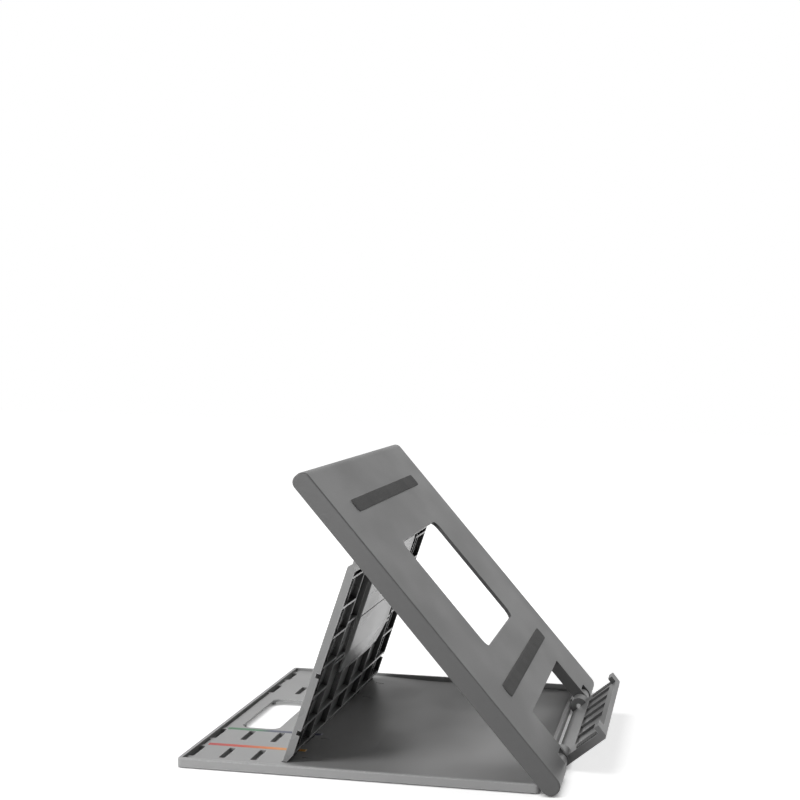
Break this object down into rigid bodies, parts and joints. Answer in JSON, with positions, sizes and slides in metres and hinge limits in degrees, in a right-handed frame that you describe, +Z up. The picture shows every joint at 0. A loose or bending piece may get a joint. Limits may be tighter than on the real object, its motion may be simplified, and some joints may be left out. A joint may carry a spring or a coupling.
{
  "type": "laptop riser",
  "caption": "Folding laptop riser: flat base tray with slot rows, a steep ribbed panel hinged at its front, a ribbed leg that props it, and a flip-up front stop.",
  "frame": {"origin": "middle of the bottom of the whole object's box: on the desk, centred left to right and front to back", "axes": "+Z up from the desk, +Y from the front stop towards the back edge of the base, +X across the riser along its hinges"},
  "size_m": [0.284, 0.2448, 0.1755],
  "materials": {
    "base_plastic": "fine matt texture, mid grey",
    "panel_plastic": "fine matt texture, mid grey",
    "leg_plastic": "fine matt texture, mid grey",
    "cover_plastic": "smooth matt, mid grey",
    "stop_plastic": "fine matt texture, mid grey",
    "rubber_foot": "dull black rubber",
    "rubber_grip": "dull black rubber",
    "pin_steel": "drawn steel wire",
    "warm_line": "line that runs from red to yellow",
    "cool_line": "line that runs from green to dark blue"
  },
  "bodies": {
    "base": {"base_plate": "base_plastic", "guide_strip_warm": "warm_line", "guide_strip_cool": "cool_line", "base_foot_rear_left": "rubber_foot", "base_foot_rear_right": "rubber_foot", "base_foot_front_left": "rubber_foot", "base_foot_front_right": "rubber_foot"},
    "panel": {"top_panel": "panel_plastic", "grip_strip_lower": "rubber_grip", "grip_strip_upper": "rubber_grip", "front_hinge_pin_left": "pin_steel", "front_hinge_pin_right": "pin_steel", "leg_hinge_pin_inner_left": "pin_steel", "leg_hinge_pin_inner_right": "pin_steel", "leg_hinge_pin_outer_left": "pin_steel", "leg_hinge_pin_outer_right": "pin_steel"},
    "leg": {"support_leg": "leg_plastic", "leg_cover": "cover_plastic"},
    "stop": {"front_stop": "stop_plastic", "stop_pad_left": "rubber_grip", "stop_pad_right": "rubber_grip"}
  },
  "joints": [
    {"name": "panel_tilt", "type": "hinge", "parent": "base", "child": "panel", "pos_m": [0, -0.09523, 0.0062], "axis": [1, 0, 0], "range_deg": [0, 60]},
    {"name": "leg_fold", "type": "hinge", "parent": "panel", "child": "leg", "pos_m": [0, 0.01923, 0.13566], "axis": [-1, 0, 0], "range_deg": [0, 59]},
    {"name": "stop_fold", "type": "hinge", "parent": "panel", "child": "stop", "pos_m": [0, -0.09523, 0.0062], "axis": [-1, 0, 0], "range_deg": [0, 93]}
  ],
  "couplings": [
    {"joint": "leg_fold", "follows": "panel_tilt", "ratio": 0.98306}
  ]
}
